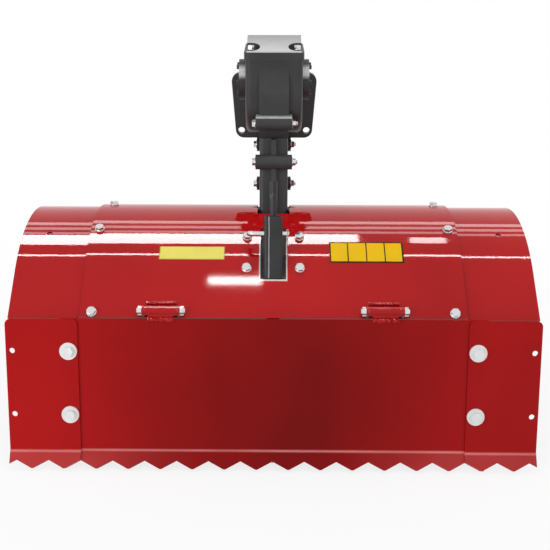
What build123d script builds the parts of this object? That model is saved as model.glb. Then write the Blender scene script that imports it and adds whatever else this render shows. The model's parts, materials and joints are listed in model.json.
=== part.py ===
from build123d import *
from math import asin, cos, degrees, radians, sin, sqrt, tan
import os

os.makedirs("parts", exist_ok=True)

# Rotavator for a two-wheeled tractor, in millimetres.
# +Z is up and +Y is forward, towards the tractor. The floor is at z = 0, under the tines.
# Sections are drawn in the YZ plane and extruded along X, the line of the rotor.

# ---- Driving dimensions -------------------------------------------------------------------
overall_width = 850            # over the bolted-on wings
center_width = 620             # hood and flap without the wings
hood_lap = 40                  # how far a wing reaches under the centre hood
flap_lap = 30                  # how far the centre flap reaches under a wing flap
hood_sheet = 4
wing_sheet = 3
flap_sheet = 4
cheek_sheet = 3
lap_clearance = 0.3            # paint gap between lapped sheets

rotor_y = 39.6                 # rotor axis, from the middle of the whole length
tine_radius = 160              # out to the tines' tips
rotor_z = tine_radius          # the tines stand on the floor

hood_margin = 70               # the rolled hood's outer radius is this much over the tines'
hood_clearance = 27            # between the tines' circle and the crown
hood_setback = 13              # the hood's crown lies this far behind the rotor axis
hood_rear_angle = 40.5         # where the roll ends at the back, from the vertical
hood_rear_run = 86             # flat run from there to the rear edge
hood_front_angle = 46          # where the roll ends at the front
hood_front_run = 46            # flat run from there to the front edge

flap_lean = 11.5               # the hanging flap, from the vertical
flap_bend = 25                 # how far its toothed foot turns back
flap_foot = 33                 # width of that foot
flap_floor_gap = 2             # under the teeth
teeth_per_half = 6
tooth_depth = 13
tooth_tip = 3                  # flat on each tooth's end

hinge_x = 178                  # middle of each flap hinge
hinge_length = 52
hinge_radius = 7.5
hinge_pin_radius = 4
hinge_ear = 4
running_gap = 0.1              # round pins and shafts
side_gap = 0.5                 # between a barrel and its ears

case_width = 50
case_low_radius = 62
case_high_radius = 56
gearbox_ahead = 96             # upper gears, from the rotor axis
gearbox_rise = 141             # upper gears, over the hood's crown
seam_width = 9                 # the flange where the case's halves meet
seam_reach = 9
boss_length = 64
boss_radius = 13

spur_angle = 74                # of the depth spur, from the floor
spur_behind = 153              # where its axis crosses the hood, behind the rotor axis
sleeve_size = 30
sleeve_wall = 3.5
spur_size = 22

# ---- Worked out from them -----------------------------------------------------------------
half_width = overall_width / 2
center_half = center_width / 2
hood_radius = tine_radius + hood_margin
hood_top_z = 2 * tine_radius + hood_clearance + hood_sheet
hood_y = rotor_y - hood_setback
hood_z = hood_top_z - hood_radius
gearbox_y = rotor_y + gearbox_ahead
gearbox_z = hood_top_z + gearbox_rise
spur_cross_y = rotor_y - spur_behind
tooth_pitch = center_half / teeth_per_half
wing_inset = hood_sheet + lap_clearance


def ahead(angle, reach):
    """A step in the YZ plane, its angle from the vertical, leaning forward."""
    return Vector(reach * sin(radians(angle)), reach * cos(radians(angle)))


def hood_points(inset):
    """The hood's section from rear edge to front edge, inset from its outer face."""
    center = Vector(hood_y, hood_z)
    radius = hood_radius - inset
    rear_bend = center + ahead(-hood_rear_angle, radius)
    rear_edge = rear_bend - ahead(90 - hood_rear_angle, hood_rear_run)
    front_bend = center + ahead(hood_front_angle, radius)
    front_edge = front_bend + ahead(90 + hood_front_angle, hood_front_run)
    return rear_edge, rear_bend, center + Vector(0, radius), front_bend, front_edge


def hood_section(outer_inset, inner_inset):
    """Section of a sheet that follows the hood between two insets."""
    outer = hood_points(outer_inset)
    inner = hood_points(inner_inset)
    with BuildSketch() as section:
        with BuildLine():
            Line(outer[0], outer[1])
            ThreePointArc(outer[1], outer[2], outer[3])
            Line(outer[3], outer[4])
            Line(outer[4], inner[4])
            Line(inner[4], inner[3])
            ThreePointArc(inner[3], inner[2], inner[1])
            Line(inner[1], inner[0])
            Line(inner[0], outer[0])
        make_face()
    return section.sketch


def strip_section(points_a, points_b):
    """Section between two lines of points."""
    with BuildSketch() as section:
        with BuildLine():
            Polyline(*points_a, *reversed(points_b), close=True)
        make_face()
    return section.sketch


def hood_height(y, inset=0):
    """Height of the hood's outer face, less an inset, at a place along its length."""
    rear_bend = hood_points(inset)[1]
    radius = hood_radius - inset
    if y < rear_bend.X:
        return rear_bend.Y - (rear_bend.X - y) * tan(radians(hood_rear_angle))
    return hood_z + sqrt(radius**2 - (y - hood_y) ** 2)


# ---- Hood ---------------------------------------------------------------------------------
case_slot_room = 3             # each side of the gear case
case_slot_behind = 30          # from the rotor axis to the slot's rear end
spur_slot_room = 6             # each side of the depth spur's sleeve
spur_slot_behind = 22          # from the sleeve's axis to the slot's rear end
spur_slot_ahead = 76
case_slot_half = case_width / 2 + case_slot_room
case_slot_y = rotor_y - case_slot_behind
spur_slot_half = sleeve_size / 2 + spur_slot_room
spur_slot_rear = spur_cross_y - spur_slot_behind
spur_slot_front = spur_cross_y + spur_slot_ahead
lip_depth = 16                 # the front edge's stiffening lip, turned in
hole_radius = 4.5
wing_hole_x = half_width - 45
wing_hole_y = rotor_y - 90

with BuildPart() as hood_center:
    with BuildSketch(Plane.YZ.offset(-center_half)):
        add(hood_section(0, hood_sheet))
    extrude(amount=center_width)
    lip_half = center_half - hood_lap - hood_sheet
    lip_outer = hood_points(0)[4]
    lip_inner = hood_points(lip_depth)[4]
    lip_back = ahead(90 + hood_front_angle, hood_sheet)
    with BuildSketch(Plane.YZ.offset(-lip_half)):
        add(strip_section((lip_outer, lip_outer - lip_back), (lip_inner, lip_inner - lip_back)))
    extrude(amount=2 * lip_half)
    with BuildSketch(Plane.XY):
        with Locations((0, case_slot_y + hood_radius)):
            Rectangle(2 * case_slot_half, 2 * hood_radius)
        with Locations((0, (spur_slot_rear + spur_slot_front) / 2)):
            Rectangle(2 * spur_slot_half, spur_slot_front - spur_slot_rear)
    extrude(amount=2 * hood_radius, mode=Mode.SUBTRACT)
hood_center.part.label = "hood_center"
export_step(hood_center.part, "parts/hood_center.step")

for side, name in ((-1, "left"), (1, "right")):
    inner_x = center_half - hood_lap
    with BuildPart() as hood_wing:
        with BuildSketch(Plane.YZ.offset(side * inner_x)):
            add(hood_section(wing_inset, wing_inset + wing_sheet))
        extrude(amount=side * (half_width - inner_x))
        with BuildSketch(Plane.XY):
            with Locations((side * wing_hole_x, wing_hole_y)):
                Circle(hole_radius)
        extrude(amount=2 * hood_radius, mode=Mode.SUBTRACT)
    hood_wing.part.label = f"hood_wing_{name}"
    export_step(hood_wing.part, f"parts/hood_wing_{name}.step")

# ---- End cheeks ---------------------------------------------------------------------------
cheek_bottom_z = 92
cheek_front_edge = 60
cheek_low_rear = rotor_y - 0.97 * tine_radius
cheek_low_front = rotor_y + 0.7 * tine_radius

for side, name in ((-1, "left"), (1, "right")):
    inner = hood_points(wing_inset + wing_sheet + lap_clearance)
    with BuildPart() as end_cheek:
        with BuildSketch(Plane.YZ.offset(side * (half_width - cheek_sheet))):
            with BuildLine():
                Line(inner[0], inner[1])
                ThreePointArc(inner[1], inner[2], inner[3])
                Line(inner[3], inner[4])
                Polyline(
                    inner[4], inner[4] - Vector(0, cheek_front_edge),
                    (cheek_low_front, cheek_bottom_z), (cheek_low_rear, cheek_bottom_z), inner[0],
                )
            make_face()
        extrude(amount=side * cheek_sheet)
    end_cheek.part.label = f"end_cheek_{name}"
    export_step(end_cheek.part, f"parts/end_cheek_{name}.step")

# ---- Flap ---------------------------------------------------------------------------------
hinge_inset = 6                # from the hood's rear edge to the hinges
hinge_gap = 1.5                # under a hinge's barrel
wing_corner = 9                # rounding of a flap wing's outer top corners
cut_depth = 40                 # of the holes and teeth, right through the sheet
hinge_seat_y = hood_points(0)[0].X + hinge_inset
hinge_normal = Vector(-sin(radians(hood_rear_angle)), cos(radians(hood_rear_angle)))
hinge_rise = hinge_radius + hinge_gap
hinge_axis = Vector(hinge_seat_y, hood_height(hinge_seat_y)) + hinge_normal * hinge_rise
flap_inner = 4                 # from the hinge axis to the flap's inner face
flap_outer = flap_inner + flap_sheet
flap_start = 12                # top edge, below the hinge axis

down_flap = -ahead(flap_lean, 1)
out_flap = Vector(down_flap.Y, -down_flap.X)
down_foot = -ahead(flap_lean + flap_bend, 1)
out_foot = Vector(down_foot.Y, -down_foot.X)
tips_drop = hinge_axis.Y - flap_floor_gap + flap_inner * out_foot.Y
flap_fold = (tips_drop + flap_foot * down_foot.Y) / -down_flap.Y


def flap_points(offset):
    """Top edge, fold and foot edge of the flap, offset outward from the hinge axis."""
    fold = hinge_axis + down_flap * flap_fold
    top = hinge_axis + down_flap * flap_start + out_flap * offset
    corner = fold + out_flap * offset - down_flap * (offset * tan(radians(flap_bend / 2)))
    return top, corner, fold + down_foot * flap_foot + out_foot * offset


def flap_section(inner_offset, sheet):
    return strip_section(flap_points(inner_offset), flap_points(inner_offset + sheet))


foot_edge = flap_points(0)[2]
foot_plane = Plane(
    origin=(0, foot_edge.X, foot_edge.Y),
    x_dir=(1, 0, 0),
    z_dir=(0, out_foot.X, out_foot.Y),
)
notch = [
    (tooth_tip / 2 - tooth_pitch / 2, -tooth_depth),
    (tooth_tip / 2 - tooth_pitch / 2, 0),
    (0, tooth_depth),
    (tooth_pitch / 2 - tooth_tip / 2, 0),
    (tooth_pitch / 2 - tooth_tip / 2, -tooth_depth),
]
flap_top = flap_points(0)[0]
flap_plane = Plane(
    origin=(0, flap_top.X, flap_top.Y),
    x_dir=(1, 0, 0),
    z_dir=(0, out_flap.X, out_flap.Y),
)
flap_bolt_x = center_half + 15
flap_hole_x = half_width - 10
flap_row_drops = (52, 157)     # the two rows of holes, below the top edge
flap_bolt_radius = 5

with BuildPart() as flap_center:
    with BuildSketch(Plane.YZ.offset(-center_half - flap_lap)):
        add(flap_section(flap_inner, flap_sheet))
    extrude(amount=center_width + 2 * flap_lap)
    with BuildSketch(foot_plane):
        with Locations(*[(n * tooth_pitch, 0) for n in range(-teeth_per_half, teeth_per_half + 1)]):
            Polygon(*notch, align=None)
    extrude(amount=cut_depth, both=True, mode=Mode.SUBTRACT)
    with BuildSketch(flap_plane):
        with Locations(*[(s * flap_bolt_x, -d) for s in (-1, 1) for d in flap_row_drops]):
            Circle(flap_bolt_radius)
    extrude(amount=cut_depth, mode=Mode.SUBTRACT)
flap_center.part.label = "flap_center"
export_step(flap_center.part, "parts/flap_center.step")

for side, name in ((-1, "left"), (1, "right")):
    with BuildPart() as flap_wing:
        with BuildSketch(Plane.YZ.offset(side * center_half)):
            add(flap_section(flap_outer + lap_clearance, wing_sheet))
        extrude(amount=side * (half_width - center_half))
        across = Axis((0, 0, 0), (0, out_flap.X, out_flap.Y))
        fillet(flap_wing.edges().filter_by(across).sort_by(Axis.Z)[-2:], radius=wing_corner)
        with BuildSketch(foot_plane):
            with Locations(*[(side * n * tooth_pitch, 0) for n in (6, 7, 8)]):
                Polygon(*notch, align=None)
        extrude(amount=cut_depth, both=True, mode=Mode.SUBTRACT)
        with BuildSketch(flap_plane):
            with Locations(*[(side * flap_bolt_x, -d) for d in flap_row_drops]):
                Circle(flap_bolt_radius)
            with Locations(*[(side * flap_hole_x, -d) for d in flap_row_drops]):
                Circle(hole_radius)
        extrude(amount=cut_depth, mode=Mode.SUBTRACT)
    flap_wing.part.label = f"flap_wing_{name}"
    export_step(flap_wing.part, f"parts/flap_wing_{name}.step")

# ---- Flap hinges --------------------------------------------------------------------------
weld_tab_half = 20
ear_foot_half = 7
ear_x = hinge_length / 2 + side_gap
pin_head = 6
pin_head_radius = 7.5
pin_thread = 8                 # the pin's ends, beyond its ears

for side, name in ((-1, "left"), (1, "right")):
    start = side * hinge_x - hinge_length / 2
    with BuildPart() as hinge_barrel:
        with BuildSketch(Plane.YZ.offset(start)):
            with Locations(hinge_axis):
                Circle(hinge_radius)
        extrude(amount=hinge_length)
        with BuildSketch(Plane.YZ.offset(side * hinge_x - weld_tab_half)):
            add(strip_section(
                (hinge_axis + out_flap * flap_inner, flap_points(flap_inner)[0]),
                (hinge_axis + out_flap * (hinge_radius - 1), flap_points(hinge_radius - 1)[0]),
            ))
        extrude(amount=2 * weld_tab_half)
        with BuildSketch(Plane.YZ.offset(start)):
            with Locations(hinge_axis):
                Circle(hinge_pin_radius + running_gap)
        extrude(amount=hinge_length, mode=Mode.SUBTRACT)
    hinge_barrel.part.label = f"hinge_barrel_{name}"
    export_step(hinge_barrel.part, f"parts/hinge_barrel_{name}.step")

    along = Vector(-hinge_normal.Y, hinge_normal.X)
    with BuildPart() as hinge_ears:
        for ear_start in (side * hinge_x - ear_x - hinge_ear, side * hinge_x + ear_x):
            with BuildSketch(Plane.YZ.offset(ear_start)):
                with Locations(hinge_axis):
                    Circle(hinge_radius)
                add(strip_section(
                    (hinge_axis + along * ear_foot_half,
                     hinge_axis + along * ear_foot_half - hinge_normal * hinge_rise),
                    (hinge_axis - along * ear_foot_half,
                     hinge_axis - along * ear_foot_half - hinge_normal * hinge_rise),
                ))
                with Locations(hinge_axis):
                    Circle(hinge_pin_radius + running_gap, mode=Mode.SUBTRACT)
            extrude(amount=hinge_ear)
    hinge_ears.part.label = f"hinge_ears_{name}"
    export_step(hinge_ears.part, f"parts/hinge_ears_{name}.step")

    pin_half = ear_x + hinge_ear
    with BuildPart() as hinge_pin:
        with BuildSketch(Plane.YZ.offset(side * hinge_x - pin_half - pin_thread)):
            with Locations(hinge_axis):
                Circle(hinge_pin_radius)
        extrude(amount=2 * (pin_half + pin_thread))
        for head_start in (side * hinge_x - pin_half - pin_head, side * hinge_x + pin_half):
            with BuildSketch(Plane.YZ.offset(head_start)):
                with Locations(hinge_axis):
                    RegularPolygon(radius=pin_head_radius, side_count=6)
            extrude(amount=pin_head)
    hinge_pin.part.label = f"hinge_pin_{name}"
    export_step(hinge_pin.part, f"parts/hinge_pin_{name}.step")

# ---- Gear case ----------------------------------------------------------------------------
rotor_axis = Vector(rotor_y, rotor_z)
gearbox = Vector(gearbox_y, gearbox_z)
case_line = gearbox - rotor_axis
case_top_z = gearbox_z - 22    # where the gearbox sits on the case
case_edge = 7                  # rounding of the case's edges
shaft_radius = 20
cover_radius = 48
cover_depth = 8
boss_spots = ((-1, 60), (1, 60), (1, 131))     # flank, and depth below the upper gears
top_boss_rise = 6              # the gearbox's own boss, over the upper gears


def case_outline(grow):
    """The case seen from the side: round about both shafts, with straight flanks."""
    with BuildSketch() as section:
        with Locations(rotor_axis):
            Circle(case_low_radius + grow)
        with Locations(gearbox):
            Circle(case_high_radius + grow)
        make_hull()
        with Locations((gearbox_y, case_top_z + overall_width / 2)):
            Rectangle(overall_width, overall_width, mode=Mode.SUBTRACT)
    return section.sketch


def flank_point(side, z):
    """Where the seam's outer edge lies on the front (+1) or rear (-1) flank at a height."""
    share = (z - rotor_axis.Y) / case_line.Y
    reach = case_low_radius + (case_high_radius - case_low_radius) * share + seam_reach
    return (rotor_axis.X + case_line.X * share + side * reach, z)


with BuildPart() as gear_case:
    with BuildSketch(Plane.YZ.offset(-case_width / 2)):
        add(case_outline(0))
    extrude(amount=case_width)
    rims = gear_case.faces().filter_by(Axis.X).edges()
    fillet(rims.filter_by(lambda rim: rim.center().Z < case_top_z - 1), radius=case_edge)
    with BuildSketch(Plane.YZ.offset(-seam_width / 2)):
        add(case_outline(seam_reach))
    extrude(amount=seam_width)
    for flank, depth in boss_spots:
        with BuildSketch(Plane.YZ.offset(-boss_length / 2)):
            with Locations(flank_point(flank, gearbox_z - depth)):
                Circle(boss_radius)
        extrude(amount=boss_length)
    with BuildSketch(Plane.YZ.offset(-boss_length)):
        with Locations(rotor_axis):
            Circle(shaft_radius + running_gap)
    extrude(amount=2 * boss_length, mode=Mode.SUBTRACT)
gear_case.part.label = "gear_case"
export_step(gear_case.part, "parts/gear_case.step")

# ---- Gearbox on top of the case -----------------------------------------------------------
drum_half = 50                 # half its length, along the rotor's line
drum_radius = 61
drum_z = gearbox_z + 37        # its round underside is struck from here
drum_edge = 10                 # rounding of its long sides
rim_bottom = gearbox_z + 112
rim_height = 14
rim_step = 2
rim_corner = 10
panel_half = 26                # the case's width carried up the back of the drum
panel_proud = 8
panel_foot = gearbox_z - 8
panel_slope = 14               # how far below the rim it runs out
ring_radius = 36               # bearing covers on the drum's ends
ring_depth = 12
ring_z = gearbox_z + 70
neck_radius = 50
neck_reach = 78                # forward from the upper gears to the coupling
input_z = gearbox_z + 6
input_radius = 15
input_bore = 24
input_seat_reach = 72
input_seat_depth = 14
neck_front = gearbox_y + neck_reach
input_seat_front = gearbox_y + input_seat_reach
input_rear = input_seat_front - input_seat_depth
rim_top = rim_bottom + rim_height
drum_rear = gearbox_y - drum_radius
drum_front = gearbox_y + drum_radius

with BuildPart() as gearbox_casting:
    with BuildSketch(Plane.YZ.offset(-drum_half)):
        with Locations((gearbox_y, drum_z)):
            Circle(drum_radius)
        with Locations((gearbox_y, (drum_z + rim_bottom) / 2)):
            Rectangle(2 * drum_radius, rim_bottom - drum_z)
    extrude(amount=2 * drum_half)
    rims = gearbox_casting.faces().filter_by(Axis.X).edges()
    fillet(rims.filter_by(lambda rim: rim.center().Z < rim_bottom - 1), radius=drum_edge)
    with BuildSketch(Plane.XY.offset(rim_bottom)):
        with Locations((0, gearbox_y)):
            RectangleRounded(
                2 * drum_half + 2 * rim_step, 2 * drum_radius + 2 * rim_step, rim_corner
            )
    extrude(amount=rim_height)
    with BuildSketch(Plane.YZ.offset(-panel_half)):
        with BuildLine():
            Polyline(
                (gearbox_y, case_top_z), (flank_point(-1, case_top_z)[0] + seam_reach, case_top_z),
                (drum_rear - panel_proud, panel_foot), (drum_rear - panel_proud, rim_bottom - 4 * panel_slope),
                (drum_rear, rim_bottom - panel_slope), (gearbox_y, rim_bottom), close=True,
            )
        make_face()
    extrude(amount=2 * panel_half)
    for side in (-1, 1):
        with BuildSketch(Plane.YZ.offset(side * drum_half)):
            with Locations((gearbox_y, ring_z)):
                Circle(ring_radius)
        extrude(amount=side * ring_depth)
    with BuildSketch(Plane.XZ.offset(-gearbox_y)):
        with Locations((0, input_z)):
            Circle(neck_radius)
    extrude(amount=-neck_reach)
    with BuildSketch(Plane.YZ.offset(-boss_length / 2)):
        with Locations((drum_rear - panel_proud, gearbox_z + top_boss_rise)):
            Circle(boss_radius)
    extrude(amount=boss_length)
    with BuildSketch(Plane.YZ.offset(-overall_width / 2)):
        with Locations((gearbox_y, case_top_z - drum_radius)):
            Rectangle(4 * drum_radius, 2 * drum_radius)
    extrude(amount=overall_width, mode=Mode.SUBTRACT)
    with BuildSketch(Plane.XZ.offset(-neck_front)):
        with Locations((0, input_z)):
            Circle(input_bore)
    extrude(amount=neck_front - input_seat_front, mode=Mode.SUBTRACT)
    with BuildSketch(Plane.XZ.offset(-input_seat_front)):
        with Locations((0, input_z)):
            Circle(input_radius + running_gap)
    extrude(amount=input_seat_depth, mode=Mode.SUBTRACT)
gearbox_casting.part.label = "gearbox_casting"
export_step(gearbox_casting.part, "parts/gearbox_casting.step")

# ---- Top cap and coupling -----------------------------------------------------------------
cap_half = 47
cap_edge = 3                   # its height at the front and back
cap_rise = 22                  # its height at the ridge
notch_radius = 15
flange_thick = 14
flange_top_half = 81
flange_low_half = 72
flange_rise = 63
flange_drop = 60
flange_corner = 16
flange_bolt_x = 62
flange_bolt_z = 46
flange_hole_radius = 6.5
spigot_radius = 44
spigot_depth = 5
spline_count = 6
spline_width = 6
spline_length = 40
input_reach = 30

with BuildPart() as top_cap:
    with BuildSketch(Plane.YZ.offset(-cap_half)):
        with BuildLine():
            Polyline(
                (drum_rear, rim_top), (drum_rear, rim_top + cap_edge),
                (gearbox_y, rim_top + cap_rise), (drum_front, rim_top + cap_edge),
                (drum_front, rim_top), close=True,
            )
        make_face()
    extrude(amount=2 * cap_half)
    with BuildSketch(Plane.XY.offset(rim_top + cap_edge)):
        with Locations(*[(s * cap_half, drum_rear + notch_radius) for s in (-1, 1)]):
            SlotOverall(3 * notch_radius, 2 * notch_radius)
    extrude(amount=cap_rise, mode=Mode.SUBTRACT)
top_cap.part.label = "top_cap"
export_step(top_cap.part, "parts/top_cap.step")

with BuildPart() as coupling_flange:
    with BuildSketch(Plane.XZ.offset(-neck_front)):
        with BuildLine():
            Polyline(
                (-flange_top_half, input_z + flange_rise), (flange_top_half, input_z + flange_rise),
                (flange_low_half, input_z - flange_drop), (-flange_low_half, input_z - flange_drop),
                close=True,
            )
        make_face()
        fillet(vertices(), radius=flange_corner)
        with Locations(*[(x, input_z + z) for x in (-flange_bolt_x, flange_bolt_x)
                         for z in (-flange_bolt_z, flange_bolt_z)]):
            Circle(flange_hole_radius, mode=Mode.SUBTRACT)
    extrude(amount=-flange_thick)
    with BuildSketch(Plane.XZ.offset(-neck_front - flange_thick)):
        with Locations((0, input_z)):
            Circle(spigot_radius)
    extrude(amount=-spigot_depth)
    with BuildSketch(Plane.XZ.offset(-neck_front)):
        with Locations((0, input_z)):
            Circle(input_bore)
    extrude(amount=-flange_thick - spigot_depth, mode=Mode.SUBTRACT)
coupling_flange.part.label = "coupling_flange"
export_step(coupling_flange.part, "parts/coupling_flange.step")

input_front = neck_front + flange_thick + spigot_depth + input_reach

with BuildPart() as input_shaft:
    with BuildSketch(Plane.XZ.offset(-input_rear)):
        with Locations((0, input_z)):
            Circle(input_radius)
    extrude(amount=-(input_front - input_rear))
    with BuildSketch(Plane.XZ.offset(-input_front + spline_length)):
        with Locations((0, input_z)):
            with PolarLocations(input_radius, spline_count):
                Rectangle(spline_width, spline_width)
    extrude(amount=-spline_length, mode=Mode.SUBTRACT)
input_shaft.part.label = "input_shaft"
export_step(input_shaft.part, "parts/input_shaft.step")

# ---- Hood brackets on the gear case -------------------------------------------------------
bracket_sheet = 5
bracket_behind = 34            # from the case's slot to the brackets' rear end
bracket_ahead = 128            # from the rotor axis to their front end
bracket_rear_y = case_slot_y + bracket_behind
bracket_front_y = rotor_y + bracket_ahead
bracket_drop = 52
bracket_fall = 12              # its lower edge falls this much towards the front
bracket_flange_half = 62

for side, name in ((-1, "left"), (1, "right")):
    with BuildPart() as hood_bracket:
        with BuildSketch(Plane.YZ.offset(side * case_width / 2)):
            with BuildLine():
                low_z = hood_height(bracket_rear_y, hood_sheet) - bracket_drop
                Polyline(
                    (bracket_rear_y, low_z), (bracket_front_y, low_z - bracket_fall),
                    (bracket_front_y, 2 * hood_radius), (bracket_rear_y, 2 * hood_radius), close=True,
                )
            make_face()
        extrude(amount=side * bracket_sheet)
        with BuildSketch(Plane.YZ.offset(side * case_width / 2)):
            add(hood_section(hood_sheet, hood_sheet + bracket_sheet))
        extrude(amount=side * (bracket_flange_half - case_width / 2))
        with BuildSketch(Plane.YZ):
            with BuildLine():
                inner = hood_points(hood_sheet)
                ThreePointArc(inner[1], inner[2], inner[3])
                Line(inner[3], inner[4])
                Line(inner[4], (inner[4].X, 0))
                Line((inner[4].X, 0), (inner[1].X, 0))
                Line((inner[1].X, 0), inner[1])
            make_face()
        extrude(amount=side * half_width, mode=Mode.INTERSECT)
        with BuildSketch(Plane.XY):
            with Locations((side * half_width / 2, (bracket_rear_y + bracket_front_y) / 2)):
                Rectangle(half_width, bracket_front_y - bracket_rear_y)
        extrude(amount=2 * hood_radius, mode=Mode.INTERSECT)
    hood_bracket.part.label = f"hood_bracket_{name}"
    export_step(hood_bracket.part, f"parts/hood_bracket_{name}.step")

# ---- Rotor --------------------------------------------------------------------------------
hub_radius = 27
hub_start_gap = 4              # from a bearing cover to the hub
hub_end_gap = 14               # from the hub to the end cheek
shaft_stub = 6                 # the shaft's end, beyond the hub
cover_slope = 14               # of a bearing cover's side, in degrees
hub_start = case_width / 2 + cover_depth + hub_start_gap
hub_end = half_width - cheek_sheet - hub_end_gap
disc_places = (90, 224, 358)
disc_radius = 66
disc_sheet = 8
tine_sheet = 7
tine_reach = 40                # sideways, at the tip
tine_root_half = 26            # half its width at the root, degrees
tine_back = 17                 # how far its back edge bows out at mid-length, degrees
tine_hollow = 6                # and how far its front edge is hollowed there
tine_waist = 0.6 * tine_radius
tine_step = 30                 # each disc's tines lag the last by this many degrees
tine_root_radius = 32
tine_spread = 24               # width of a tine at its tip, degrees
tine_sweep = 14                # how far the tip trails the root, degrees


def on_circle(angle, radius):
    return rotor_axis + Vector(radius * cos(radians(angle)), radius * sin(radians(angle)))


def tine_blade(angle):
    """The flat shank of one tine, seen along the rotor."""
    with BuildSketch() as section:
        with BuildLine():
            Line(
                on_circle(angle - tine_root_half, tine_root_radius),
                on_circle(angle + tine_root_half, tine_root_radius),
            )
            ThreePointArc(
                on_circle(angle + tine_root_half, tine_root_radius),
                on_circle(angle + tine_sweep + tine_back, tine_waist),
                on_circle(angle + tine_sweep + tine_spread / 2, tine_radius),
            )
            ThreePointArc(
                on_circle(angle + tine_sweep + tine_spread / 2, tine_radius),
                on_circle(angle + tine_sweep, tine_radius),
                on_circle(angle + tine_sweep - tine_spread / 2, tine_radius),
            )
            ThreePointArc(
                on_circle(angle + tine_sweep - tine_spread / 2, tine_radius),
                on_circle(angle - tine_hollow, tine_waist),
                on_circle(angle - tine_root_half, tine_root_radius),
            )
        make_face()
    return section.sketch


def tine_foot_section(angle):
    """The turned-over tip of one tine, seen along the rotor."""
    tip = angle + tine_sweep
    inner = tine_radius - tine_sheet
    with BuildSketch() as section:
        with BuildLine():
            ThreePointArc(
                on_circle(tip - tine_spread / 2, tine_radius),
                on_circle(tip, tine_radius),
                on_circle(tip + tine_spread / 2, tine_radius),
            )
            Line(on_circle(tip + tine_spread / 2, tine_radius), on_circle(tip + tine_spread / 2, inner))
            ThreePointArc(
                on_circle(tip + tine_spread / 2, inner),
                on_circle(tip, inner),
                on_circle(tip - tine_spread / 2, inner),
            )
            Line(on_circle(tip - tine_spread / 2, inner), on_circle(tip - tine_spread / 2, tine_radius))
        make_face()
    return section.sketch


with BuildPart() as rotor_shaft:
    with BuildSketch(Plane.YZ.offset(-hub_end - shaft_stub)):
        with Locations(rotor_axis):
            Circle(shaft_radius)
    extrude(amount=2 * (hub_end + shaft_stub))
rotor_shaft.part.label = "rotor_shaft"
export_step(rotor_shaft.part, "parts/rotor_shaft.step")

for side, name in ((-1, "left"), (1, "right")):
    with BuildPart() as bearing_cover:
        with BuildSketch(Plane.YZ.offset(side * case_width / 2)):
            with Locations(rotor_axis):
                Circle(cover_radius)
                Circle(shaft_radius + running_gap, mode=Mode.SUBTRACT)
        extrude(amount=side * cover_depth, taper=cover_slope)
    bearing_cover.part.label = f"bearing_cover_{name}"
    export_step(bearing_cover.part, f"parts/bearing_cover_{name}.step")

    with BuildPart() as rotor_hub:
        with BuildSketch(Plane.YZ.offset(side * hub_start)):
            with Locations(rotor_axis):
                Circle(hub_radius)
        extrude(amount=side * (hub_end - hub_start))
        for place in disc_places:
            with BuildSketch(Plane.YZ.offset(side * (place - disc_sheet / 2))):
                with Locations(rotor_axis):
                    Circle(disc_radius)
            extrude(amount=side * disc_sheet)
        with BuildSketch(Plane.YZ):
            with Locations(rotor_axis):
                Circle(shaft_radius)
        extrude(amount=side * half_width, mode=Mode.SUBTRACT)
    rotor_hub.part.label = f"rotor_hub_{name}"
    export_step(rotor_hub.part, f"parts/rotor_hub_{name}.step")

    for row, place in enumerate(disc_places):
        with BuildPart() as tines:
            for quarter in range(4):
                angle = 90 * quarter + tine_step * row
                face = 1 if quarter % 2 else -1
                root_x = side * place + face * disc_sheet / 2
                with BuildSketch(Plane.YZ.offset(root_x)):
                    add(tine_blade(angle))
                extrude(amount=face * tine_sheet)
                with BuildSketch(Plane.YZ.offset(root_x)):
                    add(tine_foot_section(angle))
                extrude(amount=face * (tine_sheet + tine_reach))
        tines.part.label = f"tines_{name}_{row + 1}"
        export_step(tines.part, f"parts/tines_{name}_{row + 1}.step")

# ---- Depth spur and its sleeve ------------------------------------------------------------
spur_cross_z = hood_height(spur_cross_y)
spur_plane = Plane(
    origin=(0, spur_cross_y, spur_cross_z),
    x_dir=(1, 0, 0),
    z_dir=(0, cos(radians(spur_angle)), sin(radians(spur_angle))),
)
sleeve_up = 78                 # sleeve's ends, along it from the hood
sleeve_down = 22
sleeve_corner = 4
sleeve_gap = 0.5               # all round the spur
pin_up = 50
pin_radius = 4
spur_raise = 63                # room in the spur's slot to raise it from rest
spur_lower = 9                 # and to lower it
spur_top = 70
rod_radius = 6
rod_top = 135
shoe_thick = 6
shoe_half = 22
shoe_rear = 34
shoe_front = 30
toe_run = 14                   # the shoe's turned-up toe
toe_rise = 12
pin_left = 40
pin_right = 26
pin_handle = 18                # its bent end, turned up
pin_bend = 8
pin_edge = 1
pin_center = Vector(spur_cross_y, spur_cross_z) + ahead(90 - spur_angle, pin_up)
spur_foot_y = spur_cross_y - (spur_cross_z - shoe_thick) / tan(radians(spur_angle))

with BuildPart() as depth_sleeve:
    with BuildSketch(spur_plane.offset(-sleeve_down)):
        RectangleRounded(sleeve_size, sleeve_size, sleeve_corner)
        Rectangle(sleeve_size - 2 * sleeve_wall, sleeve_size - 2 * sleeve_wall, mode=Mode.SUBTRACT)
    extrude(amount=sleeve_up + sleeve_down)
    with BuildSketch(Plane.YZ.offset(-sleeve_size)):
        with Locations(pin_center):
            Circle(pin_radius + running_gap)
    extrude(amount=2 * sleeve_size, mode=Mode.SUBTRACT)
depth_sleeve.part.label = "depth_sleeve"
export_step(depth_sleeve.part, "parts/depth_sleeve.step")

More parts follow.
